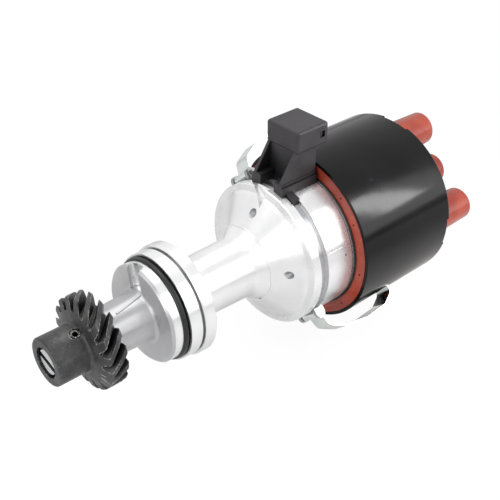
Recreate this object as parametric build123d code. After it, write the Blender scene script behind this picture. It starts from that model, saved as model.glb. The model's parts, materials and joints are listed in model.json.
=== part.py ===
from build123d import *
from math import cos, radians, sin
import os

# Ignition distributor. The shaft axis lies along X: the drive gear is at -X,
# the cap at +X, the connector points up (+Z). Each piece is saved with the
# origin on the shaft axis, in the middle of the pilot disc.
# Angles named phi turn about X, from +Y (0) through +Z (90) to -Y (180).

os.makedirs("parts", exist_ok=True)

# clearances, mm
runFit = 0.05               # radial running clearance of the shaft
touchGap = 0.15             # between stacked or nested pieces
beyond = 1.0                # how far a cutting body runs past the face it opens

# drive shaft
shaftR = 6.35
shaftFront = -58.2
shaftRear = 104.0
shaftTopR = 5.5             # reduced end that carries the rotor arm
shaftTopStart = 88.0
slotWidth = 3.0             # oil pump drive slot in the front end
slotDepth = 5.0
slotPhi = 17.0
keyDepth = 1.2              # flat that locates the rotor arm
circlipWidth = 1.1
circlipR = 8.4
circlipGrooveR = 5.9

# drive gear and its roll pin
hubFront = -59.0
hubR = 11.4
hubRecessR = 7.3
hubRecessDepth = 3.0
hubRear = -43.4             # where the gear's front face leaves the hub
gearFront = -40.6           # where the teeth reach full diameter
gearRear = -31.9
gearBossRear = -31.2
gearTipR = 22.0
gearRootR = 16.6
toothCount = 17
helixTwist = 3.1            # degrees per mm of gear length
spaceRootHalf = 1.0         # half width of a tooth space at its root
spaceMidHalf = 1.75
spaceMidR = 20.2
spaceTipHalf = 3.1
pinX = -45.6                # roll pin through hub and shaft
pinPhi = 109.0
pinR = 2.0
pinWall = 0.65
pinSink = 0.35
pinMouthR = 2.75            # countersunk mouth of the pin's hole

# housing, front to rear
snoutFront = -29.6
snoutFrontR = 11.5
snoutRearR = 12.4
pilotFront = -10.0
pilotRear = -4.6
pilotR = 24.0
pilotChamfer = 1.2
notchPhi = 80.0
notchWidth = 8.5
notchDepth = 4.2
oRingR = 1.55               # radius of the ring's round section
oRingOuterR = 25.2
seatFace = -1.5             # collar face that rests on the engine block
seatReliefR = 25.4          # the face is relieved inside this radius
seatRelief = 0.3
seatR = 26.2
seatRear = 5.0
collarGrooveWidth = 0.8
collarGrooveDepth = 1.0
collarR = 27.4
collarRear = 12.0
neckFrontR = 14.6
neckRearR = 15.3
neckRear = 46.0
flareRear = 51.6            # flare between the neck and the bowl's cone
flareR = 19.6
coneRear = 60.9
bevelRear = 62.2
bevelDrop = 3.2             # how far the cone's bevel ends inside the rim
bevelWidth = 1.3
rimFront = 63.2
rimBlend = 0.8
bowlR = 36.7
bowlWall = 3.3
rimRear = 68.0
beltRear = 72.7             # clip groove round the bowl
beltDepth = 1.5
beadFront = 88.6            # thin bead groove before the bowl's end
beadWidth = 0.6
beadDepth = 0.5
bowlEnd = 90.2
bowlFloor = 66.5
coverSeatWidth = 0.6
coverSeatX = 88.6

# bushes and seal in the housing
bushR = 8.6
lowerBushRear = -8.0
upperBushFront = 36.0
upperBushRear = 57.0
oilBoreR = 7.6
sealR = 11.0
sealFront = 58.0
sealRear = 64.0
sealLip = 1.2

# sensor plate, sensor and trigger wheel
screwRadius = 26.4          # the plate's screws show in holes in the cone
screwPhis = (91.0, 171.0)
screwShankR = 1.9
screwHoleR = 2.0
screwHeadR = 3.5
screwHeadHeight = 2.3
screwFront = 60.0
plateThick = 1.8
vaneOuterR = 22.6
vaneThick = 1.0
vaneFront = 72.6
vaneRear = 86.0
vaneHubFront = 78.0
vaneHubR = 9.5
vaneWindow = 50.0           # degrees of each of the four windows
vaneWindowRear = 82.0
sensorPhi = 117.0
sensorHalf = 5.2
sensorLow = 16.5
sensorHigh = 29.0
sensorRear = 80.0
leadR = 0.6

# dust cover and rotor arm
coverDome = 0.9
coverThick = 1.3
coverInnerR = 12.0
rotorFront = 91.8
rotorHubR = 9.2
armFront = 102.5
armRear = 108.5
armReach = 25.4
armTail = 15.5               # counterweight end of the rotor arm
armTailHalf = 6.5
armHipHalf = 9.0
armTipHalf = 6.0
armBlend = 4.0
tipReach = 28.0

# cap
capFlangeReach = 6.5        # flange beyond the bowl
capTurn = 3.0               # towers and clips stand this far past the quarters
capFaceGap = 0.15
capFlangeThick = 4.25
capWallStep = 2.8           # dome wall inside the flange
capBoreStep = 1.3           # seat on the bowl's end face
capWallThick = 3.6
deckFront = 146.0
deckRear = 151.0
towerInset = 8.6            # tower axes inside the dome wall
towerTipR = 8.6
towerRootR = 9.3
towerTip = 176.9
centreTip = 194.5
centreRootR = 10.0
socketR = 4.6               # lead socket, with a narrower bore for the terminal
socketDepth = 11.0
socketTaper = 0.9
cupBoreR = 4.3
cupBoreDepth = 20.0
cupLength = 8.0
cupWall = 0.6
stemR = 2.2
electrodeR = 3.0
electrodeFront = 102.0
centreStemR = 1.8
brushR = 2.4
brushFront = 110.5
brushRear = 124.0
springRear = 138.0
springWire = 0.3
springR = 1.7
springTurns = 4
brushHolderFront = 117.0
moulderPips = (128.0, 148.0, 186.0, 222.0, 20.0, 320.0)
pipR = 0.5

# suppression shield
shieldFront = 90.5
shieldRear = 153.0
shieldWall = 1.6
shieldGap = 0.2             # round the cap's flange
shieldTaper = 0.4
shieldLipGap = 1.3          # round the dome
shieldNotchWidth = 16.0     # the rear rim is cut back at each lead tower
shieldNotchDepth = 2.0
shieldNotchTurn = 2.0

# spring clips
pivotX = 73.6
pivotRise = 1.5             # hinge pin above the bowl
clipPinR = 1.25
eyeR = 2.2
strapThick = 1.0
strapWidth = 11.0
lugThick = 2.0
lugBlend = 0.6              # lug's wall round the pin beyond the strap's eye
hookSlotFront = 117.4
hookSlotRear = 124.8
hookReach = 3.6              # strap's end past the slot's front edge
latchPadFront = 110.0
latchPadRear = 128.0
latchPadHeight = 1.0

# connector
boxFront = 75.0             # connector socket housing
boxRear = 95.0
boxHalf = 10.6
stemHeight = 12.9           # from the base to the socket housing
boxHeight = 11.1
boxWall = 1.6
boxFloor = 80.0
stemRear = 88.3
stemHalf = 9.5
baseFront = 66.0
baseHeight = 4.8            # base above the bowl
baseStep = 0.9              # ledge along the base's two sides
railInner = 4.6             # the base is open between its two rails
footHalf = 7.5
footFront = 74.0
hookPhi = 108.0             # hook of the base in the clip groove
hookHalf = 4.2
ribThick = 1.6
bladePitch = 5.0
bladeFront = 78.5
bladeRear = 90.0
bladeHalf = 1.4
bladeThick = 0.8

# radii that follow from the bowl's
bowlBoreR = bowlR - bowlWall
coverSeatR = bowlBoreR + coverSeatWidth
beltR = bowlR - beltDepth
bevelR = bowlR - bevelDrop
coneR = bevelR - bevelWidth
pivotRadius = bowlR + pivotRise
capBoreR = bowlR - capBoreStep
capFlangeR = bowlR + capFlangeReach
capWallR = capFlangeR - capWallStep
towerCircle = capWallR - towerInset
shieldFrontR = capFlangeR + shieldGap + shieldWall
shieldRearR = shieldFrontR - shieldTaper
shieldLipR = capWallR + shieldLipGap
baseHigh = bowlR + baseHeight
boxLow = baseHigh + stemHeight
boxHigh = boxLow + boxHeight


def turned(points, rounds=()):
    """Solid of revolution about X; rounds lists (x, r, fillet radius)."""
    face = make_face(Polyline(*points, close=True))
    for x, r, radius in rounds:
        corner = face.vertices().sort_by_distance((x, r, 0))[0]
        face = fillet(corner, radius)
    return revolve(face, Axis.X, 360)


def ring(x0, x1, inner, outer):
    return turned([(x0, inner), (x1, inner), (x1, outer), (x0, outer)])


def rod(x0, x1, radius, y=0.0, z=0.0):
    body = Rot(0, 90, 0) * Cylinder(radius, x1 - x0, align=(Align.CENTER, Align.CENTER, Align.MIN))
    return Pos(x0, y, z) * body


def block(x0, x1, y0, y1, z0, z1):
    size = Box(x1 - x0, y1 - y0, z1 - z0, align=(Align.MIN, Align.MIN, Align.MIN))
    return Pos(x0, y0, z0) * size


def aboutX(phi, shape):
    return Rot(phi, 0, 0) * shape


def radialRod(x, r0, r1, radius):
    """Rod that points out along +Y, to be turned to its angle."""
    body = Rot(-90, 0, 0) * Cylinder(radius, r1 - r0, align=(Align.CENTER, Align.CENTER, Align.MIN))
    return Pos(x, r0, 0) * body


def circlesOf(shape, radius):
    return shape.edges().filter_by(GeomType.CIRCLE).filter_by(lambda e: abs(e.radius - radius) < 0.01)


def save(shape, name):
    originX = (pilotFront + pilotChamfer + pilotRear) / 2
    export_step(Pos(-originX, 0, 0) * shape, "parts/" + name + ".step")


# drive shaft
circlipFront = vaneRear + touchGap
circlipRear = circlipFront + circlipWidth
shaft = turned(
    [
        (shaftFront, 0), (shaftRear, 0), (shaftRear, shaftTopR), (shaftTopStart, shaftTopR),
        (shaftTopStart, shaftR), (circlipRear, shaftR), (circlipRear, circlipGrooveR),
        (circlipFront, circlipGrooveR), (circlipFront, shaftR), (shaftFront, shaftR),
    ]
)
shaft = chamfer(shaft.edges().filter_by(GeomType.CIRCLE).group_by(Axis.X)[0], 0.5)
slotEnd = shaftFront + slotDepth
slot = block(shaftFront - beyond, slotEnd, -hubR, hubR, -slotWidth / 2, slotWidth / 2)
shaft -= aboutX(slotPhi, slot)
shaft -= aboutX(pinPhi, radialRod(pinX, -hubR, hubR, pinR))
keyFlatR = shaftTopR - keyDepth
shaft -= block(rotorFront, shaftRear + beyond, keyFlatR, shaftTopR + beyond, -shaftR, shaftR)
save(shaft, "drive_shaft")

# drive gear: a turned blank, then one helical tooth space cut round it
recessRear = hubFront + hubRecessDepth
blank = turned(
    [
        (hubFront, hubRecessR), (hubFront, hubR), (hubRear, hubR), (gearFront, gearTipR),
        (gearRear, gearTipR), (gearRear, hubR), (gearBossRear, hubR - 1), (gearBossRear, shaftR),
        (recessRear, shaftR), (recessRear, hubRecessR),
    ],
    rounds=[
        (hubFront, hubR, 0.9), (hubRear, hubR, 1.6), (gearRear, gearTipR, 0.6), (gearFront, gearTipR, 1.0)
    ],
)
spaceOuter = gearTipR + beyond
spaceStart = hubRear - 0.2
spaceLength = gearRear + beyond - spaceStart
sectionCount = 6
spaceOutline = Polyline(
    (gearRootR, -spaceRootHalf), (spaceMidR, -spaceMidHalf), (spaceOuter, -spaceTipHalf),
    (spaceOuter, spaceTipHalf), (spaceMidR, spaceMidHalf), (gearRootR, spaceRootHalf), close=True,
)
spaceSections = []
for i in range(sectionCount):
    along = spaceLength * i / (sectionCount - 1)
    sectionPlane = Plane(origin=(spaceStart + along, 0, 0), x_dir=(0, 1, 0), z_dir=(1, 0, 0))
    section = sectionPlane * make_face(spaceOutline)
    spaceSections.append(aboutX(-helixTwist * along, section))
toothSpace = loft(spaceSections)
spaces = [aboutX(360 / toothCount * k, toothSpace) for k in range(toothCount)]
gear = blank - spaces
gear -= aboutX(pinPhi, radialRod(pinX, -hubR - beyond, hubR + beyond, pinR))
mouthDepth = 1.0
pinMouth = radialRod(pinX, hubR - mouthDepth, hubR + beyond, pinMouthR)
gear -= aboutX(pinPhi, pinMouth)
gear -= aboutX(pinPhi + 180, pinMouth)
save(gear, "drive_gear")

# slotted roll pin that locks the gear to the shaft
pinHalf = hubR - pinSink
pin = radialRod(pinX, -pinHalf, pinHalf, pinR) - radialRod(pinX, -hubR, hubR, pinR - pinWall)
pin -= block(pinX - 0.3, pinX + 0.3, -hubR, hubR, 0, pinR + beyond)
save(aboutX(pinPhi, pin), "gear_roll_pin")

# housing: snout, pilot disc, collars, neck and bowl in one casting
grooveRootR = oRingOuterR - 2 * oRingR
collarGrooveRear = seatRear + collarGrooveWidth
beadRear = beadFront + beadWidth
housing = turned(
    [
        (snoutFront, oilBoreR), (snoutFront, snoutFrontR), (pilotFront, snoutRearR), (pilotFront, pilotR),
        (pilotRear, pilotR), (pilotRear, grooveRootR), (seatFace + seatRelief, grooveRootR),
        (seatFace + seatRelief, seatReliefR), (seatFace, seatReliefR), (seatFace, seatR),
        (seatRear, seatR), (seatRear, seatR - collarGrooveDepth),
        (collarGrooveRear, seatR - collarGrooveDepth), (collarGrooveRear, collarR),
        (collarRear, collarR), (collarRear, neckFrontR), (neckRear, neckRearR), (flareRear, flareR),
        (coneRear, coneR), (bevelRear, bevelR), (rimFront, bowlR), (rimRear, bowlR), (rimRear, beltR),
        (beltRear, beltR), (beltRear, bowlR), (beadFront, bowlR), (beadFront, bowlR - beadDepth),
        (beadRear, bowlR - beadDepth), (beadRear, bowlR), (bowlEnd, bowlR), (bowlEnd, coverSeatR),
        (coverSeatX, coverSeatR), (coverSeatX, bowlBoreR), (bowlFloor, bowlBoreR), (bowlFloor, sealR + 3),
        (sealRear, sealR + 2), (sealRear, sealR), (sealFront, sealR), (sealFront, bushR),
        (upperBushFront, bushR), (upperBushFront, oilBoreR),
    ],
    rounds=[
        (snoutFront, snoutFrontR, 0.8), (pilotFront, snoutRearR, 1.8), (collarRear, neckFrontR, 2.0),
        (neckRear, neckRearR, 6.0), (rimFront, bowlR, rimBlend), (bowlFloor, bowlBoreR, 2.0),
    ],
)
housing -= ring(snoutFront - beyond, lowerBushRear, 0.5, bushR)
pilotEdge = circlesOf(housing, pilotR).group_by(Axis.X)[0]
housing = chamfer(pilotEdge, pilotChamfer)
housing = chamfer(circlesOf(housing, collarR), 0.6)
housing = chamfer(circlesOf(housing, seatR).group_by(Axis.X)[-1], 0.4)

# oil notch with rounded sides across the pilot disc's front face
notchHalf = notchWidth / 2
notchCut = block(pilotFront - 2, pilotFront + notchDepth, snoutRearR, pilotR + 2, -notchHalf, notchHalf)
notchCut = fillet(notchCut.edges().filter_by(Axis.Y).group_by(Axis.X)[-1], 2.6)
housing -= aboutX(notchPhi, notchCut)

# sensor plate screw holes, and the shallow triangular pocket under the connector
for phi in screwPhis:
    hole = rod(flareRear, bowlFloor + beyond, screwHoleR, y=screwRadius)
    housing -= aboutX(phi, hole)
pocketTop = bowlR + 1.3
pocketFace = make_face(Polyline((-2.6, bowlR - 7.3), (8.2, pocketTop), (-2.4, pocketTop), close=True))
pocketDepth = 2.6
pocketPlane = Plane(origin=(rimFront + pocketDepth, 0, 0), x_dir=(0, 1, 0), z_dir=(-1, 0, 0))
housing -= extrude(pocketPlane * mirror(pocketFace, about=Plane.XZ), 12)

# cut-out in the bowl's wall that takes the foot of the connector
housing -= block(footFront, bowlEnd + beyond, -footHalf, footHalf, bowlBoreR - 6, bowlR + 2)

# two pairs of lugs for the clip pins, with a pocket for each clip's eye
clipPhis = (45.0 + capTurn, 225.0 + capTurn)
lugInner = strapWidth / 2 + 0.5
lugOuter = lugInner + lugThick
lugR = eyeR + lugBlend
eyePocketR = pivotRadius - eyeR - 0.5
lugShape = Pos(pivotX, pivotRadius, 0) * Cylinder(lugR, 2 * lugOuter)
lugShape += block(pivotX - lugR, pivotX + lugR, eyePocketR, pivotRadius, -lugOuter, lugOuter)
eyePocket = block(pivotX - lugR - 0.6, pivotX + lugR + 0.6, eyePocketR, bowlR + 8, -lugInner, lugInner)
pinBore = Pos(pivotX, pivotRadius, 0) * Cylinder(clipPinR, 2 * lugOuter + beyond)
for phi in clipPhis:
    housing += aboutX(phi, lugShape)
for phi in clipPhis:
    housing -= aboutX(phi, eyePocket + pinBore)
save(housing, "housing")

# O-ring in the groove behind the pilot disc
oRingX = (pilotRear + seatFace) / 2
oRing = Pos(oRingX, 0, 0) * (Rot(0, 90, 0) * Torus(oRingOuterR - oRingR, oRingR))
save(oRing, "pilot_o_ring")

# bushes, seal and thrust washer
save(ring(snoutFront + touchGap, lowerBushRear, shaftR + runFit, bushR), "lower_bush")
save(ring(upperBushFront, upperBushRear, shaftR + runFit, bushR), "upper_bush")
sealFace = sealRear - touchGap
seal = turned(
    [
        (sealFront + touchGap, bushR), (sealFront + touchGap, sealR), (sealFace, sealR),
        (sealFace, shaftR + runFit), (sealFace - sealLip, shaftR + runFit), (sealFace - 2 * sealLip, bushR),
    ]
)
save(seal, "shaft_seal")
save(ring(gearBossRear + touchGap, snoutFront - touchGap, shaftR + 0.1, hubR - 1), "thrust_washer")

# sensor plate with its two screws
plateRear = bowlFloor + plateThick
plate = ring(bowlFloor, plateRear, sealR + 3.5, bowlBoreR - 2.2)
for phi in screwPhis:
    plate -= aboutX(phi, rod(bowlFloor - beyond, plateRear + beyond, screwHoleR, y=screwRadius))
save(plate, "sensor_plate")
headRear = plateRear + screwHeadHeight
headSlotFront = headRear - screwHeadHeight / 2
crossLong = screwHeadR * 0.7
crossHalf = 0.45
screwHead = rod(plateRear, headRear, screwHeadR, y=screwRadius)
for across, along in ((crossLong, crossHalf), (crossHalf, crossLong)):
    crossSlot = block(headSlotFront, headRear + beyond, -across, across, -along, along)
    screwHead -= Pos(0, screwRadius, 0) * crossSlot
screw = screwHead + rod(screwFront, plateRear, screwShankR, y=screwRadius)
save(Compound([aboutX(phi, screw) for phi in screwPhis]), "sensor_screws")

# Hall sensor with the gap that the trigger wheel's vanes run through
sensorSlotFront = vaneFront - 1.1
sensorSlotIn = vaneOuterR - vaneThick - 1.2
sensorSlotOut = vaneOuterR + 1.2
sensor = block(plateRear, sensorRear, sensorLow, sensorHigh, -sensorHalf, sensorHalf)
sensor -= block(sensorSlotFront, sensorRear + beyond, sensorSlotIn, sensorSlotOut, -sensorHigh, sensorHigh)
sensor = fillet(sensor.edges().filter_by(Axis.Z).group_by(Axis.X)[-1], 0.8)
save(aboutX(sensorPhi, sensor), "hall_sensor")

# its three leads, which run up to the connector's foot
leadEnd = bowlBoreR - 0.4
leadSide = -6.0
leadBend = bowlBoreR - 1.8
leadOut = Vector(0, cos(radians(sensorPhi)), sin(radians(sensorPhi)))
leadFirst = leadOut * (sensorHigh + runFit)
leadPath = Polyline(leadFirst, leadOut * (sensorHigh + 1.9), (0, leadSide, leadBend), (0, leadSide, leadEnd))
leadStart = Plane(origin=leadFirst, z_dir=leadOut)
lead = sweep(leadStart * Circle(leadR), path=leadPath, transition=Transition.ROUND)
leadRear = sensorRear - leadR - 0.4
save(Compound([Pos(leadRear - offsetX, 0, 0) * lead for offsetX in (0.0, 1.6, 3.2)]), "sensor_leads")

# trigger wheel: a cup with four windows that runs through the sensor
vaneInnerR = vaneOuterR - vaneThick
webFront = vaneRear - 1.6
wheel = turned(
    [
        (vaneFront, vaneInnerR), (vaneFront, vaneOuterR), (vaneRear, vaneOuterR), (vaneRear, shaftR),
        (vaneHubFront, shaftR), (vaneHubFront, vaneHubR), (webFront, vaneHubR), (webFront, vaneInnerR),
    ]
)
windowFront = vaneFront - beyond
windowIn = vaneInnerR - beyond
windowOut = vaneOuterR + beyond
windowFace = make_face(
    Polyline(
        (windowFront, windowIn), (vaneWindowRear, windowIn), (vaneWindowRear, windowOut),
        (windowFront, windowOut), close=True,
    )
)
for k in range(4):
    wheel -= aboutX(90 * k, revolve(windowFace, Axis.X, vaneWindow))
save(wheel, "trigger_wheel")

circlip = ring(circlipFront, circlipRear, circlipGrooveR, circlipR)
circlip -= block(circlipFront - beyond, circlipRear + beyond, 0, circlipR + beyond, -3.2, 3.2)
save(circlip, "shaft_circlip")

# dust cover that closes the bowl below the rotor arm
coverRim = coverSeatR - 0.1
coverFace = bowlEnd - 0.3
coverTop = coverFace + coverDome
coverStepR = 28.0
cover = turned(
    [
        (coverSeatX + 0.05, coverRim), (coverFace, coverRim), (coverFace, coverStepR),
        (coverTop, coverStepR - 1), (coverTop, coverInnerR), (coverTop - coverThick, coverInnerR),
        (coverTop - coverThick, coverStepR - 1.6), (coverSeatX + 0.05, coverStepR - 0.6),
    ]
)
save(cover, "dust_cover")

# rotor arm and its contact strip
rotorHub = turned(
    [
        (rotorFront, shaftTopR), (rotorFront, rotorHubR), (armRear, rotorHubR + 0.6), (armRear, 0),
        (shaftRear, 0), (shaftRear, shaftTopR),
    ]
)
armFace = make_face(
    Polyline(
        (-armTail, -armTailHalf), (-armTail, armTailHalf), (0, armHipHalf), (armReach, armTipHalf),
        (armReach, -armTipHalf), (0, -armHipHalf), close=True,
    )
)
armPlane = Plane(origin=(armFront, 0, 0), x_dir=(0, 1, 0), z_dir=(1, 0, 0))
arm = extrude(armPlane * armFace, armRear - armFront)
arm = fillet(arm.edges().filter_by(Axis.X).group_by(Axis.Y)[0], armBlend)
arm -= rod(armFront - beyond, shaftRear, shaftTopR)
rotor = rotorHub + arm
keyHalf = 3.5
rotor += block(rotorFront + 0.4, shaftRear, keyFlatR, shaftTopR + beyond, -keyHalf, keyHalf)
save(rotor, "rotor_arm")

contactRear = brushFront - 0.3
contactHalf = 3.0
contact = block(armRear, contactRear, -4.0, tipReach, -contactHalf, contactHalf)
contact = fillet(contact.edges().filter_by(Axis.X).group_by(Axis.Y)[0], contactHalf - 0.1)
contactTip = block(armFront + 0.5, contactRear, armReach, tipReach, -6.0, 6.0)
contact += contactTip & rod(armFront, armRear + 5, tipReach)
save(contact, "rotor_contact")

# cap: flange, dome and deck, with pads that the clips hook over
capFace = bowlEnd + capFaceGap
capFlangeRear = capFace + capFlangeThick
capInnerR = capWallR - capWallThick
cap = turned(
    [
        (capFace, capBoreR), (capFace, capFlangeR), (capFlangeRear, capFlangeR), (capFlangeRear, capWallR + 0.4),
        (deckRear, capWallR), (deckRear, 0), (deckFront, 0), (deckFront, capInnerR),
    ],
    rounds=[(deckRear, capWallR, 3.0), (deckFront, capInnerR, 1.2)],
)
dome = turned(
    [(capFlangeRear, 0), (capFlangeRear, capWallR + 0.4), (deckRear, capWallR), (deckRear, 0)],
    rounds=[(deckRear, capWallR, 3.0)],
)
brushTube = turned(
    [
        (brushHolderFront, 0), (brushHolderFront, 5.0), (deckFront - 2, 6.5),
        (deckFront + beyond, 9.0), (deckFront + beyond, 0)
    ]
)
cap += brushTube
cap -= rod(brushHolderFront - beyond, springRear, brushR + 0.1)
cap -= rod(springRear - beyond, deckRear + beyond, centreStemR)
towerPhis = [90.0 * k + capTurn for k in range(4)]
for phi in towerPhis:
    cap -= aboutX(phi, rod(deckFront - beyond, deckRear + beyond, stemR, y=towerCircle))
latchHalf = strapWidth / 2 + 1.2
padOuterR = capWallR + latchPadHeight
for phi in clipPhis:
    latchPad = block(latchPadFront, latchPadRear, capWallR - 2, padOuterR, -latchHalf, latchHalf)
    cap += aboutX(phi, latchPad)
pipRadius = (capBoreR + capFlangeR) / 2 + 1.0
for phi in moulderPips:
    cap -= aboutX(phi, rod(capFace - beyond, capFace + 0.8, pipR, y=pipRadius))
save(cap, "cap_body")

# five lead towers of the same moulding, each round its stepped socket
cupFloor = towerTip - cupBoreDepth
socketFloor = towerTip - socketDepth
towerBody = turned(
    [
        (deckFront + 1, 0), (deckFront + 1, towerRootR), (deckRear, towerRootR), (towerTip, towerTipR),
        (towerTip, 0),
    ],
    rounds=[(towerTip, towerTipR, 1.0)],
)
socket = turned(
    [
        (cupFloor, 0), (cupFloor, cupBoreR), (socketFloor - socketTaper, cupBoreR), (socketFloor, socketR),
        (towerTip + beyond, socketR), (towerTip + beyond, 0),
    ]
)
stemHole = rod(deckFront, cupFloor + beyond, stemR)
tower = towerBody - socket - stemHole
towers = [aboutX(phi, Pos(0, towerCircle, 0) * tower) - dome for phi in towerPhis]
centreBody = turned(
    [(deckRear, 0), (deckRear, centreRootR), (centreTip, towerTipR), (centreTip, 0)],
    rounds=[(centreTip, towerTipR, 1.0)],
)
centreFloor = centreTip - cupBoreDepth
centreHole = rod(deckRear - beyond, centreFloor + beyond, centreStemR)
centreTower = centreBody - Pos(centreTip - towerTip, 0, 0) * socket - centreHole
save(Compound(towers + [centreTower]), "lead_towers")

# tower terminals: a cup in the socket, a stem through the deck, an electrode
cupR = cupBoreR - runFit
cup = rod(cupFloor, cupFloor + cupLength, cupR)
cup -= rod(cupFloor + 1.4, cupFloor + cupLength + beyond, cupR - cupWall)
terminal = cup + rod(deckFront, cupFloor, stemR) + rod(electrodeFront, deckFront, electrodeR)
save(Compound([aboutX(phi, Pos(0, towerCircle, 0) * terminal) for phi in towerPhis]), "tower_terminals")
centreCup = Pos(centreTip - towerTip, 0, 0) * cup
save(centreCup + rod(springRear, centreFloor, centreStemR), "centre_terminal")

# carbon brush and its spring
brush = rod(brushFront, brushRear, brushR)
brush = chamfer(brush.edges().group_by(Axis.X)[0], 0.4)
save(brush, "carbon_brush")
springEndGap = 0.05
springLength = springRear - brushRear - 2 * (springWire + springEndGap)
coil = Helix(pitch=springLength / springTurns, height=springLength, radius=springR)
springSolid = sweep(Plane(origin=coil @ 0, z_dir=coil % 0) * Circle(springWire), path=coil)
save(Pos(brushRear + springWire + springEndGap, 0, 0) * (Rot(0, 90, 0) * springSolid), "brush_spring")

# suppression shield round the cap
lipFront = shieldRear - shieldWall
shield = turned(
    [
        (shieldFront, shieldFrontR - shieldWall), (shieldFront, shieldFrontR), (shieldRear, shieldRearR),
        (shieldRear, shieldLipR), (lipFront, shieldLipR), (lipFront, shieldRearR - shieldWall),
    ],
    rounds=[(shieldRear, shieldRearR, 1.0), (lipFront, shieldRearR - shieldWall, 0.5)],
)
for phi in clipPhis:
    hookSlot = block(hookSlotFront, hookSlotRear, capWallR - 2, shieldFrontR + 5, -latchHalf, latchHalf)
    shield -= aboutX(phi, hookSlot)
rimNotchHalf = shieldNotchWidth / 2
rimNotch = block(
    shieldRear - shieldNotchDepth, shieldRear + beyond, capWallR - 2, shieldFrontR + 5, -rimNotchHalf, rimNotchHalf
)
for phi in towerPhis:
    shield -= aboutX(phi + shieldNotchTurn, rimNotch)
save(shield, "shield")

# spring clips and their pins
hookR = padOuterR + 0.3 + strapThick / 2
strapSteps = ((3.8, 8.0), (12.9, 12.6), (26.9, 15.0), (40.9, 14.0), (49.0, 9.3))
strapPoints = [(pivotX + eyeR - strapThick / 2, pivotRadius)]
strapPoints += [(pivotX + along, pivotRadius + out) for along, out in strapSteps]
strapPoints += [(hookSlotFront + hookReach, hookR)]
strapLine = FilletPolyline(*strapPoints, radius=4.0)
strapFace = make_face(offset(strapLine, amount=strapThick / 2, kind=Kind.ARC, side=Side.BOTH).edges())
strap = extrude(strapFace, strapWidth / 2, both=True)
eye = Pos(pivotX, pivotRadius, 0) * (Cylinder(eyeR, strapWidth) - Cylinder(clipPinR + runFit, strapWidth + 1))
strap -= Pos(pivotX, pivotRadius, 0) * Cylinder(eyeR - 0.5, strapWidth + 1)
clip = strap + eye
clipPin = Pos(pivotX, pivotRadius, 0) * Cylinder(clipPinR, 2 * lugOuter)
clipNames = ("spring_clip_upper", "spring_clip_lower")
for phi, name in zip(clipPhis, clipNames):
    save(aboutX(phi, clip), name)
save(Compound([aboutX(phi, clipPin) for phi in clipPhis]), "clip_pins")

# connector: socket box, stem, ribs, base rails and the hook in the clip groove
stemFront = boxFront + 0.4
bowlClear = bowlR + 0.1
box = block(boxFront, boxRear, -boxHalf, boxHalf, boxLow, boxHigh)
box = fillet(box.edges(), 1.4)
stem = block(stemFront, stemRear, -stemHalf, stemHalf, baseHigh - beyond, boxLow + 1.6)
baseLow = bowlR - 6.7
base = block(baseFront, stemRear, -boxHalf, boxHalf, baseLow, baseHigh - 1.6)
base += block(baseFront, stemRear, baseStep - boxHalf, boxHalf - baseStep, bowlR, baseHigh)
base -= block(baseFront - beyond, stemFront, -railInner, railInner, baseLow, baseHigh + beyond)
base -= rod(baseFront - beyond, boxRear, bowlClear)
footEdge = footHalf - 0.2
footSplit = coverSeatX - 0.1
foot = block(footFront + 0.3, footSplit, -footEdge, footEdge, bowlBoreR - 0.4, bowlR + 2)
foot += block(footSplit - 0.1, bowlEnd - 0.2, -footEdge, footEdge, coverSeatR + 0.1, bowlR + 2)
foot -= block(stemRear, bowlEnd, -footEdge - beyond, footEdge + beyond, bowlClear, bowlR + 5)
ribRear = stemFront + 0.6
ribTop = boxLow + 0.8
ribFace = make_face(
    Polyline(
        (baseFront + 0.2, baseHigh), (ribRear, baseHigh), (ribRear, ribTop), (stemFront - 0.2, ribTop), close=True
    )
)
ribPlane = Plane(origin=(0, 0, 0), x_dir=(1, 0, 0), z_dir=(0, -1, 0))
rib = extrude(ribPlane * ribFace, ribThick)
grooveHook = block(rimRear + 0.25, beltRear - 0.25, beltR + 0.1, bowlR + 1.4, -hookHalf, hookHalf)
connector = box + stem + base + foot + aboutX(hookPhi, grooveHook)
connector += Pos(0, ribThick - stemHalf, 0) * rib
connector += Pos(0, stemHalf, 0) * rib
mouthHalf = boxHalf - 2.3
socketCut = block(boxFloor, boxRear + beyond, -mouthHalf, mouthHalf, boxLow + boxWall, boxHigh - boxWall)
socketCut = fillet(socketCut.edges().filter_by(Axis.X), 0.8)
connector -= socketCut
latchMid = boxHalf - 1.2
latchFront = boxRear - 5.4
latchRear = boxRear - 2.4
latchLow = boxLow + 4.2
latchHigh = boxLow + 7.4
for side in (-1, 1):
    latchSide = side * latchMid
    latchWindow = block(latchFront, latchRear, latchSide - 1.4, latchSide + 1.4, latchLow, latchHigh)
    connector -= latchWindow
bladeMid = (boxLow + boxHigh) / 2
bladeEdge = bladeThick / 2
blade = block(bladeFront, bladeRear, -bladeHalf, bladeHalf, bladeMid - bladeEdge, bladeMid + bladeEdge)
blade = chamfer(blade.edges().filter_by(Axis.Y).group_by(Axis.X)[-1], 0.3)
blades = Compound([Pos(0, offsetY, 0) * blade for offsetY in (-bladePitch, 0, bladePitch)])
save(blades, "connector_terminals")
save(connector - blades, "connector_housing")
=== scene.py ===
import bpy
import json
import math
from mathutils import Matrix, Vector


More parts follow.
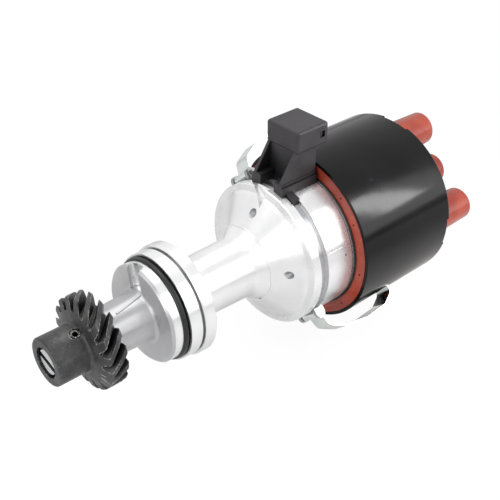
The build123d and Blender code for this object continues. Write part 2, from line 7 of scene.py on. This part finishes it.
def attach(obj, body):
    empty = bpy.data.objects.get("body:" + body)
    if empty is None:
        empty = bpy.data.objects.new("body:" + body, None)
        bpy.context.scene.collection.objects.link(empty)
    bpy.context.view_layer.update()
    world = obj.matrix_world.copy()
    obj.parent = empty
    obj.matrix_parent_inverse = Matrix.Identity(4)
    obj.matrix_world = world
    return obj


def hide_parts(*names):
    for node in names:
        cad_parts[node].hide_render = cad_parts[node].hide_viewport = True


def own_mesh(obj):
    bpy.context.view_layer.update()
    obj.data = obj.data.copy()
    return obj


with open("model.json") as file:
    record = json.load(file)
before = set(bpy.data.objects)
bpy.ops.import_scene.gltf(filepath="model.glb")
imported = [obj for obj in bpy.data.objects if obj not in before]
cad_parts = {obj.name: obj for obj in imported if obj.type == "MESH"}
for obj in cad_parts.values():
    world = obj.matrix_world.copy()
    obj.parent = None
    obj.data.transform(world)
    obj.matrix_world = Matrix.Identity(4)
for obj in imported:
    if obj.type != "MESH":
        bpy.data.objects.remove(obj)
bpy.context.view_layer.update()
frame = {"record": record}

scene = bpy.context.scene
mm = 0.001
shift = 6.7  # mm from the frame's origin to station 0, towards the cap
bpy.ops.object.select_all(action="DESELECT")


def hexColour(text):
    # sRGB hex to the linear values that the shaders take
    parts = [int(text[i:i + 2], 16) / 255 for i in (1, 3, 5)]
    linear = [p / 12.92 if p <= 0.04045 else ((p + 0.055) / 1.055) ** 2.4 for p in parts]
    return linear + [1.0]


def addNode(tree, kind, settings=None, values=None, links=None, stops=None, to=None):
    # one node with its settings, input values, incoming sockets, ramp stops and the input it feeds
    node = tree.nodes.new(kind)
    for name, value in (settings or {}).items():
        setattr(node, name, value)
    for name, value in (values or {}).items():
        node.inputs[name].default_value = value
    for name, socket in (links or {}).items():
        tree.links.new(socket, node.inputs[name])
    if stops:
        elements = node.color_ramp.elements
        elements.remove(elements[1])
        elements[0].position = stops[0][0]
        for place, colour in stops[1:]:
            elements.new(place)
        for element, (place, colour) in zip(elements, stops):
            isHex = isinstance(colour, str)
            element.color = hexColour(colour) if isHex else [colour] * 3 + [1.0]
    if to:
        tree.links.new(node.outputs[0], to)
    return node


def newMaterial(name):
    material = bpy.data.materials.new(name)
    material.use_nodes = True
    tree = material.node_tree
    coords = addNode(tree, "ShaderNodeTexCoord").outputs["Object"]
    return material, tree, tree.nodes["Principled BSDF"], coords


print("stage: materials")

# places along the frame's X axis, widths and depths in mm
aluminium = {
    "axisLow": -60.0, "axisLength": 180.0,  # span of the ramps along the axis
    "sharpEdge": 0.001, "softEdge": 0.004, "beltEdge": 0.002,  # shares of that span
    "castEnd": -1.9, "collarEnd": 26.0, "coneEnd": 67.5,  # where the finish changes
    "roughness": (0.38, 0.25, 0.30, 0.27),  # snout, collars, neck and cone, bowl
    "wear": (-0.02, 0.03),
    "cast": ("#BEBEC0", "#D2D2D3"), "turned": ("#EBEBEC", "#F5F5F5"),
    "belt": "#97989C", "beltEnds": (75.0, 79.1), "beltShare": 0.8,
    # paintedShade is the grey painted into hollows as shade, shadeReach how far it reaches in mm
    "paintedShade": "#747578", "shadeReach": 3.0,
    "metallic": 0.85, "smear": 0.9,
    "cloud": 22.22, "toolPitch": 0.8, "castGrain": 0.45, "relief": 0.012,
}
waveLength = 0.314  # period of a wave texture whose scale is 1


def castAluminium():
    # die-cast aluminium alloy: the snout as cast, grey and finely grained, the rest turned or
    # tumbled bright, so the bowl mirrors what is near it and the cone is satin
    look = aluminium
    material, tree, shader, coords = newMaterial("castAluminium")
    axes = addNode(tree, "ShaderNodeSeparateXYZ", links={"Vector": coords})
    low = look["axisLow"] * mm
    along = addNode(tree, "ShaderNodeMapRange",
                    values={"From Min": low, "From Max": low + look["axisLength"] * mm},
                    links={"Value": axes.outputs["X"]}).outputs["Result"]
    castEnd, collarEnd, coneEnd, beltFront, beltRear = [
        (place - look["axisLow"]) / look["axisLength"]
        for place in (look["castEnd"], look["collarEnd"], look["coneEnd"], *look["beltEnds"])]
    castShare = addNode(tree, "ShaderNodeValToRGB", links={"Fac": along},
                        stops=[(0.0, 1.0), (castEnd - look["sharpEdge"], 1.0),
                               (castEnd, 0.0)]).outputs["Color"]
    cloud = addNode(tree, "ShaderNodeTexNoise",
                    values={"Scale": 1 / (look["cloud"] * mm), "Detail": 5.0, "Roughness": 0.6},
                    links={"Vector": coords}).outputs["Fac"]
    bright = addNode(tree, "ShaderNodeValToRGB", links={"Fac": cloud},
                     stops=[(0.35, look["turned"][0]), (0.6, look["turned"][1])])
    grey = addNode(tree, "ShaderNodeValToRGB", links={"Fac": cloud},
                   stops=[(0.3, look["cast"][0]), (0.7, look["cast"][1])])
    metal = addNode(tree, "ShaderNodeMixRGB",
                    links={"Fac": castShare, "Color1": bright.outputs[0],
                           "Color2": grey.outputs[0]})
    # the clip groove round the bowl is drawn a darker grey all round
    belt = addNode(tree, "ShaderNodeValToRGB", links={"Fac": along},
                   stops=[(0.0, 0.0), (beltFront, 0.0),
                          (beltFront + look["beltEdge"], look["beltShare"]),
                          (beltRear - look["beltEdge"], look["beltShare"]), (beltRear, 0.0)])
    metal = addNode(tree, "ShaderNodeMixRGB", values={"Color2": hexColour(look["belt"])},
                    links={"Fac": belt.outputs[0], "Color1": metal.outputs[0]})
    # painted shade: ambient occlusion darkens bores, pockets and groove corners towards a grey
    nearWalls = addNode(tree, "ShaderNodeAmbientOcclusion", {"samples": 6},
                        {"Distance": look["shadeReach"] * mm})
    unshaded = addNode(tree, "ShaderNodeMapRange", values={"From Min": 0.20, "From Max": 0.65},
                    links={"Value": nearWalls.outputs["AO"]})
    addNode(tree, "ShaderNodeMixRGB", values={"Color1": hexColour(look["paintedShade"])},
            links={"Fac": unshaded.outputs[0], "Color2": metal.outputs[0]},
            to=shader.inputs["Base Color"])
    shader.inputs["Metallic"].default_value = look["metallic"]
    # the feed marks run round, so gloss smears along the axis
    shader.inputs["Anisotropic"].default_value = look["smear"]
    addNode(tree, "ShaderNodeCombineXYZ", values={"X": 1.0}, to=shader.inputs["Tangent"])
    snout, collars, cone, bowl = look["roughness"]
    zones = addNode(tree, "ShaderNodeValToRGB", links={"Fac": along},
                    stops=[(0.0, snout), (castEnd, snout),
                           (castEnd + look["sharpEdge"], collars), (collarEnd, collars),
                           (collarEnd + look["softEdge"], cone), (coneEnd, cone),
                           (coneEnd + look["softEdge"], bowl)])
    worn = addNode(tree, "ShaderNodeMapRange",
                   values={"To Min": look["wear"][0], "To Max": look["wear"][1]},
                   links={"Value": cloud})
    addNode(tree, "ShaderNodeMath", {"operation": "ADD"},
            links={0: zones.outputs[0], 1: worn.outputs[0]}, to=shader.inputs["Roughness"])
    # lathe marks and cast grain, drawn coarser than the real 0.2 and 0.1 mm so that they show
    feed = addNode(tree, "ShaderNodeTexWave", {"wave_type": "BANDS", "bands_direction": "X"},
                   {"Scale": waveLength / (look["toolPitch"] * mm), "Distortion": 0.8,
                    "Detail": 3.0},
                   {"Vector": coords})
    grains = addNode(tree, "ShaderNodeTexNoise",
                     values={"Scale": 1 / (look["castGrain"] * mm), "Detail": 3.0},
                     links={"Vector": coords})
    relief = addNode(tree, "ShaderNodeMixRGB",
                     links={"Fac": castShare, "Color1": feed.outputs["Fac"],
                            "Color2": grains.outputs["Fac"]})
    addNode(tree, "ShaderNodeBump", values={"Distance": look["relief"] * mm, "Strength": 0.3},
            links={"Height": relief.outputs[0]}, to=shader.inputs["Normal"])
    return material


# patches, chips, tooth space, edge, grain and relief in mm; the coat's own grain is finer, and
# is drawn as coarse as it needs to show
gearSteel = {
    # shadeColour is the near black painted into the tooth spaces as shade
    "shadeColour": "#151516", "dark": "#2F2F31", "body": "#3D3D3E", "high": "#5A5A59", "bare": "#BDBCB8",
    "patch": 7.692, "chip": 1.111, "toothSpace": 7.0, "edgeWidth": 0.6, "grain": 0.7,
    "relief": 0.12, "metallic": 0.35, "roughness": (0.52, 0.30),
}


def phosphatedSteel():
    # sintered steel with a manganese phosphate coat: charcoal and grainy, with painted shade from
    # ambient occlusion darkening the tooth spaces, and the coat knocked off in specks along the
    # edges
    look = gearSteel
    material, tree, shader, coords = newMaterial("phosphatedSteel")
    patches = addNode(tree, "ShaderNodeTexNoise",
                      values={"Scale": 1 / (look["patch"] * mm), "Detail": 6.0,
                              "Roughness": 0.65},
                      links={"Vector": coords}).outputs["Fac"]
    coat = addNode(tree, "ShaderNodeValToRGB", links={"Fac": patches},
                   stops=[(0.30, look["dark"]), (0.50, look["body"]), (0.70, look["high"])])
    # painted shade: the tooth spaces and other hollows go near black
    paintedShade = addNode(tree, "ShaderNodeAmbientOcclusion", {"samples": 6},
                     {"Distance": look["toothSpace"] * mm})
    outside = addNode(tree, "ShaderNodeMapRange", values={"From Min": 0.35, "From Max": 0.85},
                      links={"Value": paintedShade.outputs["AO"]})
    shaded = addNode(tree, "ShaderNodeMixRGB", values={"Color1": hexColour(look["shadeColour"])},
                     links={"Fac": outside.outputs[0], "Color2": coat.outputs[0]})
    # edges are where a rounded normal leaves the true one
    geometry = addNode(tree, "ShaderNodeNewGeometry").outputs["Normal"]
    rounded = addNode(tree, "ShaderNodeBevel", {"samples": 4},
                      {"Radius": look["edgeWidth"] * mm}).outputs[0]
    flat = addNode(tree, "ShaderNodeVectorMath", {"operation": "DOT_PRODUCT"},
                   links={0: geometry, 1: rounded}).outputs["Value"]
    edge = addNode(tree, "ShaderNodeMapRange", values={"From Min": 0.99, "From Max": 0.92},
                   links={"Value": flat})
    chips = addNode(tree, "ShaderNodeTexNoise",
                    values={"Scale": 1 / (look["chip"] * mm), "Detail": 4.0, "Roughness": 0.7},
                    links={"Vector": coords}).outputs["Fac"]
    where = addNode(tree, "ShaderNodeValToRGB", links={"Fac": patches},
                    stops=[(0.44, 0.0), (0.52, 1.0)])
    speck = addNode(tree, "ShaderNodeValToRGB", links={"Fac": chips},
                    stops=[(0.46, 0.0), (0.54, 1.0)])
    worn = addNode(tree, "ShaderNodeMath", {"operation": "MULTIPLY"},
                   links={0: where.outputs[0], 1: speck.outputs[0]})
    worn = addNode(tree, "ShaderNodeMath", {"operation": "MULTIPLY", "use_clamp": True},
                   links={0: worn.outputs[0], 1: edge.outputs[0]})
    stray = addNode(tree, "ShaderNodeValToRGB", links={"Fac": chips},
                    stops=[(0.66, 0.0), (0.70, 0.7)])
    worn = addNode(tree, "ShaderNodeMath", {"operation": "MAXIMUM"},
                   links={0: worn.outputs[0], 1: stray.outputs[0]})
    addNode(tree, "ShaderNodeMixRGB", values={"Color2": hexColour(look["bare"])},
            links={"Fac": worn.outputs[0], "Color1": shaded.outputs[0]},
            to=shader.inputs["Base Color"])
    shader.inputs["Metallic"].default_value = look["metallic"]
    addNode(tree, "ShaderNodeMapRange",
            values={"To Min": look["roughness"][0], "To Max": look["roughness"][1]},
            links={"Value": patches}, to=shader.inputs["Roughness"])
    grain = addNode(tree, "ShaderNodeTexNoise",
                    values={"Scale": 1 / (look["grain"] * mm), "Detail": 4.0},
                    links={"Vector": coords})
    addNode(tree, "ShaderNodeBump", values={"Distance": look["relief"] * mm, "Strength": 0.5},
            links={"Height": grain.outputs["Fac"]}, to=shader.inputs["Normal"])
    return material


cornerFade = 0.55  # openness over which the painted corner shade fades out to the plain face
glossSpread = 0.06


def mouldedPart(name, look):
    # moulded plastic or rubber: even colour with slow flow shading, painted shade from ambient
    # occlusion in deep corners, and a fine eroded grain in the gloss
    material, tree, shader, coords = newMaterial(name)
    flow = addNode(tree, "ShaderNodeTexNoise",
                   values={"Scale": 1 / (look["flow"] * mm), "Detail": 3.0},
                   links={"Vector": coords}).outputs["Fac"]
    colour = addNode(tree, "ShaderNodeValToRGB", links={"Fac": flow},
                     stops=[(0.35, look["low"]), (0.65, look["high"])])
    # painted shade: deep corners and pockets darken towards shadeColour
    paintedShade = addNode(tree, "ShaderNodeAmbientOcclusion", {"samples": 6},
                     {"Distance": look["reach"] * mm})
    share = addNode(tree, "ShaderNodeMapRange",
                    values={"From Min": look["dark"], "From Max": look["dark"] + cornerFade},
                    links={"Value": paintedShade.outputs["AO"]})
    shaded = addNode(tree, "ShaderNodeMixRGB", values={"Color1": hexColour(look["shadeColour"])},
                     links={"Fac": share.outputs[0], "Color2": colour.outputs[0]})
    if "scuff" in look:  # a few pale rub marks, fine and drawn out along the axis
        spread = addNode(tree, "ShaderNodeMapping",
                         values={"Scale": (0.05, 1.0, 1.0), "Rotation": (0, 0, 0.15)},
                         links={"Vector": coords})
        marks = addNode(tree, "ShaderNodeTexNoise",
                        values={"Scale": 1 / (look["markWidth"] * mm), "Detail": 1.0},
                        links={"Vector": spread.outputs[0]})
        lines = addNode(tree, "ShaderNodeValToRGB", links={"Fac": marks.outputs["Fac"]},
                        stops=[(0.73, 0.0), (0.80, 0.7)])
        few = addNode(tree, "ShaderNodeValToRGB", links={"Fac": flow},
                      stops=[(0.60, 0.0), (0.66, 1.0)])
        rubbed = addNode(tree, "ShaderNodeMath", {"operation": "MULTIPLY"},
                         links={0: lines.outputs[0], 1: few.outputs[0]})
        shaded = addNode(tree, "ShaderNodeMixRGB", values={"Color2": hexColour(look["scuff"])},
                         links={"Fac": rubbed.outputs[0], "Color1": shaded.outputs[0]})
    tree.links.new(shaded.outputs[0], shader.inputs["Base Color"])
    addNode(tree, "ShaderNodeMapRange",
            values={"To Min": look["roughness"] - glossSpread,
                    "To Max": look["roughness"] + glossSpread},
            links={"Value": flow}, to=shader.inputs["Roughness"])
    shader.inputs["Specular IOR Level"].default_value = look["gloss"]
    grain = addNode(tree, "ShaderNodeTexNoise",
                    values={"Scale": 1 / (look["grain"] * mm), "Detail": 3.0},
                    links={"Vector": coords})
    addNode(tree, "ShaderNodeBump", values={"Distance": look["depth"] * mm, "Strength": 0.4},
            links={"Height": grain.outputs["Fac"]}, to=shader.inputs["Normal"])
    return material


smearSize = 11.11  # mm
smearDulling = 0.1  # added to the roughness where a smear is thickest


def brightMetal(name, look):
    # clean bare or plated metal with slow smears in its gloss
    material, tree, shader, coords = newMaterial(name)
    smear = addNode(tree, "ShaderNodeTexNoise",
                    values={"Scale": 1 / (smearSize * mm), "Detail": 5.0},
                    links={"Vector": coords}).outputs["Fac"]
    addNode(tree, "ShaderNodeValToRGB", links={"Fac": smear},
            stops=[(0.3, look["low"]), (0.7, look["high"])], to=shader.inputs["Base Color"])
    shader.inputs["Metallic"].default_value = 1.0
    addNode(tree, "ShaderNodeMapRange",
            values={"To Min": look["roughness"], "To Max": look["roughness"] + smearDulling},
            links={"Value": smear}, to=shader.inputs["Roughness"])
    return material


# flow, grain, depth, reach and mark width in mm; shadeColour and dark are the colour and openness
# of the full painted shade in a corner; the real eroded grain is finer, and is drawn as coarse as
# it needs to show
moulded = {
    # nitrile rubber: soft black with a satin skin
    "rubber_black": ("nitrileRubber", {
        "low": "#141415", "high": "#1E1E1F", "shadeColour": "#0A0A0A", "roughness": 0.38, "gloss": 0.45,
        "flow": 20.0, "grain": 1.0, "depth": 0.02, "reach": 3.0, "dark": 0.2}),
    # glass-filled nylon: dark grey, dull, with a coarse eroded grain, and painted shade reaching
    # far into its pockets
    "plastic_black": ("glassFilledNylon", {
        "low": "#302E31", "high": "#3C393C", "shadeColour": "#050505", "roughness": 0.50, "gloss": 0.42,
        "flow": 9.0, "grain": 0.7, "depth": 0.04, "reach": 16.0, "dark": 0.45}),
    # phenolic resin: brick red, a little glossy, with faint flow streaks
    "phenolic_red": ("phenolicResin", {
        "low": "#913628", "high": "#AB4834", "shadeColour": "#641F15", "roughness": 0.26, "gloss": 0.42,
        "flow": 14.0, "grain": 0.9, "depth": 0.02, "reach": 4.0, "dark": 0.2}),
    # black polyester: near black and smooth, with broad soft highlights that waver slowly
    "shield_black": ("blackPolyester", {
        "low": "#0B0B0D", "high": "#121214", "shadeColour": "#050505", "roughness": 0.15, "gloss": 0.17,
        "flow": 25.0, "grain": 9.0, "depth": 0.10, "reach": 6.0, "dark": 0.2,
        "scuff": "#6A6A6C", "markWidth": 0.7692}),
    # pressed carbon: sooty and flat
    "carbon": ("pressedCarbon", {
        "low": "#1A1A1A", "high": "#262626", "shadeColour": "#0C0C0C", "roughness": 0.45, "gloss": 0.4,
        "flow": 8.0, "grain": 1.2, "depth": 0.02, "reach": 2.0, "dark": 0.2}),
}
plainMetals = {
    # rolled spring steel with a nickel plate: near white, and it mirrors the room
    "spring_steel": ("nickelledSpringSteel", {
        "low": "#E0E7E4", "high": "#EFF3F1", "roughness": 0.14}),
    # ground steel: cool grey with a slightly blurred mirror
    "bright_steel": ("groundSteel", {"low": "#C4C5C8", "high": "#DCDDDF", "roughness": 0.18}),
    # pressed brass: pale yellow, with soft highlights
    "brass": ("pressedBrass", {"low": "#B99A56", "high": "#CDB06C", "roughness": 0.25}),
    # sintered bronze: brown, and dull from its pores
    "bronze": ("sinteredBronze", {"low": "#8E6B3D", "high": "#A6814F", "roughness": 0.40}),
}
finishes = {slot: mouldedPart(name, look) for slot, (name, look) in moulded.items()}
finishes["cast_aluminium"] = castAluminium()
finishes["phosphated_steel"] = phosphatedSteel()
finishes.update({slot: brightMetal(name, look) for slot, (name, look) in plainMetals.items()})

# each CAD node takes the finish of the slot that the part's record gives it
slots = {entry["node"]: entry["material_slot"] for entry in frame["record"]["subparts"]}
for node, slot in slots.items():
    holder = bpy.data.objects[node]
    holder.data.materials.clear()
    holder.data.materials.append(finishes[slot])

print("stage: small pieces")

smoothAngle = 40.0  # faces that meet at less, in degrees, shade as one


def finishPiece(name, slot, body):
    # places the active object's shape in its mesh, gives it its finish and its body
    piece = bpy.context.object
    piece.name = name
    bpy.ops.object.transform_apply(location=True, rotation=True, scale=True)
    for modifier in list(piece.modifiers):
        bpy.ops.object.modifier_apply(modifier=modifier.name)
    bpy.ops.object.shade_smooth_by_angle(angle=math.radians(smoothAngle))
    piece.data.materials.clear()
    piece.data.materials.append(finishes[slot])
    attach(piece, body)
    piece.select_set(False)
    return piece


def onBowl(station, radius, turn):
    # a point of the frame from its station along the axis, its radius and its turn about it
    turn = math.radians(turn)
    return Vector((station + shift, radius * math.cos(turn), radius * math.sin(turn))) * mm


# rings round the axis: station and radius of the middle of the wall, then its section, in mm
ringSides = 160
rings = {
    # painted shade: a thin black ring standing in for the shadowed gap between the bowl's end and
    # the cap
    "cap_gap_shade": {"slot": "rubber_black", "station": 90.085, "radius": 37.25, "width": 0.47,
                   "thick": 0.9, "round": 0.15},
    # turned step where the neck's flare meets the cone
    "flare_step": {"slot": "cast_aluminium", "station": 51.6, "radius": 19.5, "width": 0.9,
                   "thick": 0.7, "round": 0.12},
}


def thinRing(name, ring):
    # an open tube, given its wall and rounded at the edges
    bpy.ops.mesh.primitive_cylinder_add(
        vertices=ringSides, radius=ring["radius"] * mm, depth=ring["width"] * mm,
        end_fill_type="NOTHING", rotation=(0, math.pi / 2, 0),
        location=onBowl(ring["station"], 0, 0))
    wall = bpy.context.object.modifiers.new("wall", "SOLIDIFY")
    wall.thickness = ring["thick"] * mm
    wall.offset = 0
    edges = bpy.context.object.modifiers.new("edges", "BEVEL")
    edges.width = ring["round"] * mm
    edges.segments = 2
    finishPiece(name, ring["slot"], "body")


for name, ring in rings.items():
    thinRing(name, ring)

# raised lines of the casting: both ends as station, radius and turn, then the section in mm
seams = {
    "snout_rib": {"front": (-25.2, 11.45, 111.3), "rear": (-8.6, 12.35, 96.6),
                  "width": 1.0, "height": 1.5, "round": 0.3},
    "bowl_seam": {"front": (73.0, 36.5, 160.4), "rear": (88.5, 36.5, 160.4),
                  "width": 0.5, "height": 0.8, "round": 0.1},
}


def castSeam(name, seam):
    # low rib with rounded edges, sunk in the skin, from one point of the casting to another
    start = onBowl(*seam["front"])
    end = onBowl(*seam["rear"])
    bpy.ops.mesh.primitive_cube_add(size=1.0, location=(0, 0, 0))
    bpy.ops.transform.resize(
        value=((end - start).length, seam["width"] * mm, seam["height"] * mm))
    rib = bpy.context.object
    turn = math.radians((seam["front"][2] + seam["rear"][2]) / 2)
    along = (end - start).normalized()
    outward = Vector((0, math.cos(turn), math.sin(turn)))
    across = outward.cross(along).normalized()
    lie = Matrix((along, across, along.cross(across))).transposed().to_4x4()
    rib.matrix_world = Matrix.Translation((start + end) / 2) @ lie @ rib.matrix_world
    bpy.ops.object.transform_apply(location=True, rotation=True, scale=True)
    edges = rib.modifiers.new("edges", "BEVEL")
    edges.width = seam["round"] * mm
    edges.segments = 3
    finishPiece(name, "cast_aluminium", "body")


for name, seam in seams.items():
    castSeam(name, seam)

# brush spring: a round wire wound round the axis, built at one length, though the real spring
# shortens as the brush is pushed back; stations of the ends, radii of coil and wire, travel and
# gap in mm
spring = {"front": 124.05, "rear": 138.0, "coil": 1.7, "wire": 0.3, "turns": 5, "travel": 3.0,
          "endGap": 0.05, "wireSides": 12, "turnSteps": 28}
held = spring["rear"] - spring["front"]
wound = held - 2 * spring["wire"] - spring["endGap"]
bpy.ops.mesh.primitive_circle_add(
    vertices=spring["wireSides"], radius=spring["wire"] * mm, fill_type="NOTHING",
    location=onBowl(spring["front"] + spring["wire"], spring["coil"], 0))
coil = bpy.context.object
bpy.ops.object.transform_apply(location=True)
winding = coil.modifiers.new("winding", "SCREW")
winding.axis = "X"
winding.iterations = spring["turns"]
winding.screw_offset = wound / spring["turns"] * mm
winding.steps = winding.render_steps = spring["turnSteps"]
bpy.ops.object.modifier_apply(modifier=winding.name)
bpy.ops.object.mode_set(mode="EDIT")
bpy.ops.mesh.select_all(action="SELECT")
bpy.ops.mesh.fill_holes(sides=0)
bpy.ops.mesh.normals_make_consistent(inside=False)
bpy.ops.object.mode_set(mode="OBJECT")
coil = finishPiece("brush_coil", "bright_steel", "body")
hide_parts("brush_spring")
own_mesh(coil)

# stations of front and rear, distance to the side, depth, heights above the axis, in mm
latch = {"front": 90.0, "rear": 91.9, "side": 10.0, "depth": 1.0, "low": 59.1, "high": 61.4,
         "slope": 0.7, "round": 0.12}


def latchTooth(name, side):
    # ramped tooth behind each latch window of the connector: a block, its rear edge drawn in
    middle = Vector(((latch["front"] + latch["rear"]) / 2 + shift, side * latch["side"],
                     (latch["low"] + latch["high"]) / 2)) * mm
    bpy.ops.mesh.primitive_cube_add(size=1.0, location=middle)
    bpy.ops.transform.resize(value=((latch["rear"] - latch["front"]) * mm, latch["depth"] * mm,
                                    (latch["high"] - latch["low"]) * mm))
    bpy.ops.object.transform_apply(location=True, scale=True)
    bpy.ops.object.mode_set(mode="EDIT")
    bpy.ops.mesh.select_all(action="DESELECT")
    bpy.ops.object.mode_set(mode="OBJECT")
    tooth = bpy.context.object
    for vertex in tooth.data.vertices:
        vertex.select = vertex.co.x > middle.x and side * vertex.co.y > side * middle.y
    for edge in tooth.data.edges:
        edge.select = all(tooth.data.vertices[v].select for v in edge.vertices)
    bpy.ops.object.mode_set(mode="EDIT")
    bpy.ops.transform.translate(value=(0, -side * latch["slope"] * mm, 0))
    bpy.ops.mesh.select_all(action="SELECT")
    bpy.ops.mesh.bevel(offset=latch["round"] * mm, segments=2, affect="EDGES")
    bpy.ops.object.mode_set(mode="OBJECT")
    finishPiece(name, "plastic_black", "body")


latchTooth("latch_tooth_left", -1)
latchTooth("latch_tooth_right", 1)

# dark spots on the casting, painted shade of small pits: station, radius to the skin, turn, size
pips = {"flareLow": (50.6, 18.9, 227.0, 0.6), "bowlNear": (84.5, 36.6, 167.5, 0.6),
        "bowlFar": (82.0, 36.6, 24.0, 0.6)}
dome = {"sides": 20, "rows": 10, "height": 0.4, "cut": 0.15}  # height and cut by the pip's size


def castPip(name, station, radius, turn, size):
    # a dark dome, flattened on the skin, standing in as painted shade for a small pit in the
    # casting
    bpy.ops.mesh.primitive_uv_sphere_add(segments=dome["sides"], ring_count=dome["rows"],
                                         radius=size * mm, location=(0, 0, 0))
    bpy.ops.object.mode_set(mode="EDIT")
    bpy.ops.mesh.select_all(action="SELECT")
    bpy.ops.transform.resize(value=(1, 1, dome["height"]))
    bpy.ops.mesh.bisect(plane_co=(0, 0, -dome["cut"] * size * mm), plane_no=(0, 0, 1),
                        clear_inner=True, use_fill=True)
    bpy.ops.object.mode_set(mode="OBJECT")
    pip = bpy.context.object
    pip.rotation_euler = (math.radians(turn - 90), 0, 0)
    pip.location = onBowl(station, radius, turn)
    finishPiece(name, "phosphated_steel", "body")


for label, (station, radius, turn, size) in pips.items():
    castPip("pip_" + label, station, radius, turn, size)

print("stage: floor, lights and camera")

# level in mm, clear of the lower clip when it hangs open, size in m; the camera sees most of the
# floor as plain white, and the rest keeps the shadow
sweep = {"level": -67.0, "size": 40.0, "colour": "#F4F4F4", "roughness": 0.9,
         "cameraShare": 0.86, "cameraGlow": 1.06}


def paleFloor():
    # matt white sweep that shows the object's soft shadow
    material, tree, shader = newMaterial("paleFloor")[:3]
    shader.inputs["Base Color"].default_value = hexColour(sweep["colour"])
    shader.inputs["Roughness"].default_value = sweep["roughness"]
    path = addNode(tree, "ShaderNodeLightPath")
    share = addNode(tree, "ShaderNodeMath", {"operation": "MULTIPLY"}, {1: sweep["cameraShare"]},
                    {0: path.outputs["Is Camera Ray"]})
    glow = addNode(tree, "ShaderNodeEmission",
                   values={"Color": (1, 1, 1, 1), "Strength": sweep["cameraGlow"]})
    addNode(tree, "ShaderNodeMixShader",
            links={0: share.outputs[0], 1: shader.outputs[0], 2: glow.outputs[0]},
            to=tree.nodes["Material Output"].inputs["Surface"])
    return material


bpy.ops.mesh.primitive_plane_add(size=sweep["size"], location=(0, 0, sweep["level"] * mm))
floor = bpy.context.object
floor.name = "floor"
floor.data.materials.append(paleFloor())

# strength of the white surround for diffuse rays, and where it is seen or mirrored
surround = {"diffuse": 0.44, "seen": 1.0}

world = bpy.data.worlds.new("studio")
scene.world = world
world.use_nodes = True
studio = world.node_tree
sky = studio.nodes["Background"]
sky.inputs["Color"].default_value = (1, 1, 1, 1)
path = addNode(studio, "ShaderNodeLightPath")
seen = addNode(studio, "ShaderNodeMath", {"operation": "MAXIMUM"},
               links={0: path.outputs["Is Camera Ray"], 1: path.outputs["Is Glossy Ray"]})
seen = addNode(studio, "ShaderNodeMath", {"operation": "MAXIMUM"},
               links={0: seen.outputs[0], 1: path.outputs["Is Transmission Ray"]})
addNode(studio, "ShaderNodeMapRange",
        values={"To Min": surround["diffuse"], "To Max": surround["seen"]},
        links={"Value": seen.outputs[0]}, to=sky.inputs["Strength"])

# direction from the aim, distance and size in m, power in W, aim in mm
lamps = {
    "keySoftbox": {"from": (0.57, -0.65, 0.42), "away": 0.9, "size": (0.42, 0.76), "power": 2.6},
    "shieldSpot": {"from": (0.675, -0.60, 0.42), "away": 0.16, "size": (0.028, 0.085),
                   "power": 0.13, "aim": (112, -35, 27.6)},
    "topSoftbox": {"from": (-0.10, 0.25, 1.0), "away": 1.0, "size": (0.9, 0.7), "power": 3.8},
    "leftFill": {"from": (-0.9, -0.35, 0.35), "away": 1.1, "size": (0.6, 0.6), "power": 3.2},
}
middleAim = (70, 0, 0)
for name, lamp in lamps.items():
    light = bpy.data.lights.new(name, "AREA")
    light.shape = "RECTANGLE"
    light.size, light.size_y = lamp["size"]
    light.energy = lamp["power"]
    holder = bpy.data.objects.new(name, light)
    scene.collection.objects.link(holder)
    direction = Vector(lamp["from"]).normalized()
    holder.location = Vector(lamp.get("aim", middleAim)) * mm + direction * lamp["away"]
    holder.rotation_euler = direction.to_track_quat("Z", "Y").to_euler()

# angles in degrees, lens, sensor and place in mm, clip in m
view = {"azimuth": -41.59, "elevation": 34.10, "lens": 66.28, "sensor": 36.0,
        "place": (-182.63, -275.68, 255.34), "clip": 0.01}
azimuth = math.radians(view["azimuth"])
elevation = math.radians(view["elevation"])
back = Vector((math.sin(azimuth) * math.cos(elevation), -math.cos(azimuth) * math.cos(elevation),
               math.sin(elevation)))
right = Vector((math.cos(azimuth), math.sin(azimuth), 0))
up = back.cross(right)
camera = bpy.data.objects.new("camera", bpy.data.cameras.new("camera"))
scene.collection.objects.link(camera)
camera.data.lens = view["lens"]
camera.data.sensor_width = view["sensor"]
camera.data.clip_start = view["clip"]
turn = Matrix((right, up, back)).transposed().to_4x4()
camera.matrix_world = Matrix.Translation(Vector(view["place"]) * mm) @ turn
scene.camera = camera
scene.view_settings.view_transform = "Standard"
